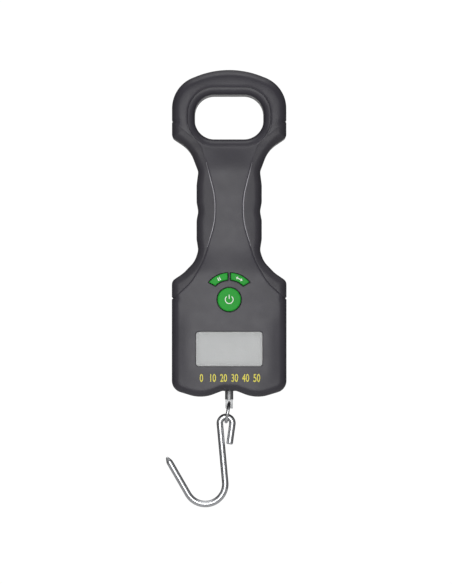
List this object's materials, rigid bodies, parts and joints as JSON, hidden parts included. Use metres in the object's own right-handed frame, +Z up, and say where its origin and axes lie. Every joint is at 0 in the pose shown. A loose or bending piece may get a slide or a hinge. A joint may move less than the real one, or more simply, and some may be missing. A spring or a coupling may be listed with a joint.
{
  "type": "hanging scale",
  "caption": "Hand-held digital hanging scale with a ring handle, ribbed rubber grips, display, push buttons and a steel hook on a swivel.",
  "frame": {"origin": "middle of the handle opening's upper inner edge, on the plane where the two covers meet", "axes": "+Z up towards the handle, the front with the display faces -Y, +X to the right seen from the front"},
  "size_m": [0.0803, 0.0319, 0.2911],
  "materials": {
    "case_plastic": "fine grained moulded plastic",
    "grip_rubber": "soft matt rubber",
    "zinc_steel": "zinc plated",
    "window_clear": "clear, smooth",
    "lcd_glass": "blank silver-grey display",
    "reflector": "satin foil",
    "white_plastic": "moulded",
    "zebra_rubber": "layered",
    "board_green": "solder mask",
    "black_plastic": "moulded",
    "cell_aluminium": "milled",
    "gauge_foil": "foil on film",
    "polished_steel": "polished",
    "satin_steel": "turned, satin",
    "battery_wrap": "smooth film",
    "spring_steel": "nickel plated",
    "wire_red": "smooth",
    "wire_black": "smooth",
    "wire_grey": "smooth",
    "button_green": "satin rubber with white marks"
  },
  "bodies": {
    "casing": {"anchor_bar": "zinc_steel", "anchor_bolt": "zinc_steel", "anchor_washer": "zinc_steel", "battery_contacts": "spring_steel", "battery_left": "battery_wrap", "battery_link_plate": "spring_steel", "battery_right": "battery_wrap", "battery_springs": "spring_steel", "battery_wire_black": "wire_black", "battery_wire_red": "wire_red", "board_screws": "zinc_steel", "chip_parts": "black_plastic", "cover_screws": "zinc_steel", "front_cover": "case_plastic", "gauge_cable": "wire_grey", "gauge_potting": "grip_rubber", "hold_switch": "black_plastic", "lcd_holder": "white_plastic", "lcd_panel": "lcd_glass", "lcd_reflector": "reflector", "lcd_window": "window_clear", "left_grip": "grip_rubber", "load_cell": "cell_aluminium", "main_board": "board_green", "power_switch": "black_plastic", "rear_cover": "case_plastic", "right_grip": "grip_rubber", "rod_guide": "black_plastic", "strain_gauges": "gauge_foil", "unit_switch": "black_plastic", "window_tape": "reflector", "zebra_strips": "zebra_rubber"},
    "power_key": {"power_button": "button_green"},
    "hold_key": {"hold_button": "button_green"},
    "unit_key": {"unit_button": "button_green"},
    "door": {"battery_door": "case_plastic"},
    "rod": {"load_rod": "satin_steel", "rod_nut": "zinc_steel", "thrust_washer": "zinc_steel"},
    "link": {"link_ring": "polished_steel"},
    "hook": {"hook": "polished_steel"}
  },
  "joints": [
    {"name": "power_key_press", "type": "slide", "parent": "casing", "child": "power_key", "axis": [0, 1, 0], "range_m": [0, 0.0006], "stiffness_N_per_m": 600},
    {"name": "hold_key_press", "type": "slide", "parent": "casing", "child": "hold_key", "axis": [0, 1, 0], "range_m": [0, 0.0006], "stiffness_N_per_m": 600},
    {"name": "unit_key_press", "type": "slide", "parent": "casing", "child": "unit_key", "axis": [0, 1, 0], "range_m": [0, 0.0006], "stiffness_N_per_m": 600},
    {"name": "door_hinge", "type": "hinge", "parent": "casing", "child": "door", "pos_m": [0, 0.013, -0.0474], "axis": [1, 0, 0], "range_deg": [0, 75]},
    {"name": "rod_swivel", "type": "hinge", "parent": "casing", "child": "rod", "pos_m": [0, 0, -0.195], "axis": [0, 0, 1], "continuous": true},
    {"name": "link_swing", "type": "hinge", "parent": "rod", "child": "link", "pos_m": [0, 0, -0.2047], "axis": [0, 1, 0], "range_deg": [-60, 60]},
    {"name": "hook_swing", "type": "hinge", "parent": "link", "child": "hook", "pos_m": [-0.00202, 0, -0.21409], "axis": [0.9877, 0, -0.1564], "range_deg": [-60, 60]}
  ]
}
